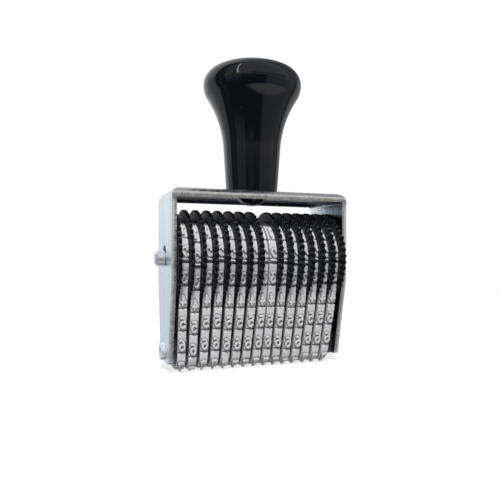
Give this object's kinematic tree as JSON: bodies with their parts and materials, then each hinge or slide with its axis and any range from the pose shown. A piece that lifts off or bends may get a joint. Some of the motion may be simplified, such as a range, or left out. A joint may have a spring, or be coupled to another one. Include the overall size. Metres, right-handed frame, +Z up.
{
  "type": "band numbering stamp",
  "caption": "Hand-held numbering stamp: bent plated frame, turned black handle, and serrated wheels on an axle that each carry a rubber number band.",
  "frame": {"origin": "under the middle of the printing face, on the plane that the characters print on", "axes": "+X along the axle to the right, +Y from front to back, +Z up through the handle"},
  "size_m": [0.056, 0.0282, 0.0872],
  "materials": {
    "plated_sheet": "bright zinc plate",
    "plated_bar": "zinc plated, turned",
    "handle_black": "high gloss",
    "bush_brass": "machined",
    "wheel_black": "moulded satin",
    "band_rubber": "matt moulded rubber"
  },
  "bodies": {
    "stamp_body": {"frame": "plated_sheet", "anvil": "plated_bar", "axle": "plated_bar", "handle": "handle_black", "handle_bush": "bush_brass", "handle_screw": "plated_bar", "band_01": "band_rubber", "band_02": "band_rubber", "band_03": "band_rubber", "band_04": "band_rubber", "band_05": "band_rubber", "band_06": "band_rubber", "band_07": "band_rubber", "band_08": "band_rubber", "band_09": "band_rubber", "band_10": "band_rubber", "band_11": "band_rubber", "band_12": "band_rubber", "band_13": "band_rubber", "band_14": "band_rubber", "band_15": "band_rubber"},
    "wheel_01_body": {"wheel_01": "wheel_black"},
    "wheel_02_body": {"wheel_02": "wheel_black"},
    "wheel_03_body": {"wheel_03": "wheel_black"},
    "wheel_04_body": {"wheel_04": "wheel_black"},
    "wheel_05_body": {"wheel_05": "wheel_black"},
    "wheel_06_body": {"wheel_06": "wheel_black"},
    "wheel_07_body": {"wheel_07": "wheel_black"},
    "wheel_08_body": {"wheel_08": "wheel_black"},
    "wheel_09_body": {"wheel_09": "wheel_black"},
    "wheel_10_body": {"wheel_10": "wheel_black"},
    "wheel_11_body": {"wheel_11": "wheel_black"},
    "wheel_12_body": {"wheel_12": "wheel_black"},
    "wheel_13_body": {"wheel_13": "wheel_black"},
    "wheel_14_body": {"wheel_14": "wheel_black"},
    "wheel_15_body": {"wheel_15": "wheel_black"}
  },
  "joints": [
    {"name": "wheel_01_turn", "type": "hinge", "parent": "stamp_body", "child": "wheel_01_body", "pos_m": [-0.02219, 0, 0.0306], "axis": [1, 0, 0], "continuous": true},
    {"name": "wheel_02_turn", "type": "hinge", "parent": "stamp_body", "child": "wheel_02_body", "pos_m": [-0.01902, 0, 0.0306], "axis": [1, 0, 0], "continuous": true},
    {"name": "wheel_03_turn", "type": "hinge", "parent": "stamp_body", "child": "wheel_03_body", "pos_m": [-0.01585, 0, 0.0306], "axis": [1, 0, 0], "continuous": true},
    {"name": "wheel_04_turn", "type": "hinge", "parent": "stamp_body", "child": "wheel_04_body", "pos_m": [-0.01268, 0, 0.0306], "axis": [1, 0, 0], "continuous": true},
    {"name": "wheel_05_turn", "type": "hinge", "parent": "stamp_body", "child": "wheel_05_body", "pos_m": [-0.00951, 0, 0.0306], "axis": [1, 0, 0], "continuous": true},
    {"name": "wheel_06_turn", "type": "hinge", "parent": "stamp_body", "child": "wheel_06_body", "pos_m": [-0.00634, 0, 0.0306], "axis": [1, 0, 0], "continuous": true},
    {"name": "wheel_07_turn", "type": "hinge", "parent": "stamp_body", "child": "wheel_07_body", "pos_m": [-0.00317, 0, 0.0306], "axis": [1, 0, 0], "continuous": true},
    {"name": "wheel_08_turn", "type": "hinge", "parent": "stamp_body", "child": "wheel_08_body", "pos_m": [0, 0, 0.0306], "axis": [1, 0, 0], "continuous": true},
    {"name": "wheel_09_turn", "type": "hinge", "parent": "stamp_body", "child": "wheel_09_body", "pos_m": [0.00317, 0, 0.0306], "axis": [1, 0, 0], "continuous": true},
    {"name": "wheel_10_turn", "type": "hinge", "parent": "stamp_body", "child": "wheel_10_body", "pos_m": [0.00634, 0, 0.0306], "axis": [1, 0, 0], "continuous": true},
    {"name": "wheel_11_turn", "type": "hinge", "parent": "stamp_body", "child": "wheel_11_body", "pos_m": [0.00951, 0, 0.0306], "axis": [1, 0, 0], "continuous": true},
    {"name": "wheel_12_turn", "type": "hinge", "parent": "stamp_body", "child": "wheel_12_body", "pos_m": [0.01268, 0, 0.0306], "axis": [1, 0, 0], "continuous": true},
    {"name": "wheel_13_turn", "type": "hinge", "parent": "stamp_body", "child": "wheel_13_body", "pos_m": [0.01585, 0, 0.0306], "axis": [1, 0, 0], "continuous": true},
    {"name": "wheel_14_turn", "type": "hinge", "parent": "stamp_body", "child": "wheel_14_body", "pos_m": [0.01902, 0, 0.0306], "axis": [1, 0, 0], "continuous": true},
    {"name": "wheel_15_turn", "type": "hinge", "parent": "stamp_body", "child": "wheel_15_body", "pos_m": [0.02219, 0, 0.0306], "axis": [1, 0, 0], "continuous": true}
  ]
}
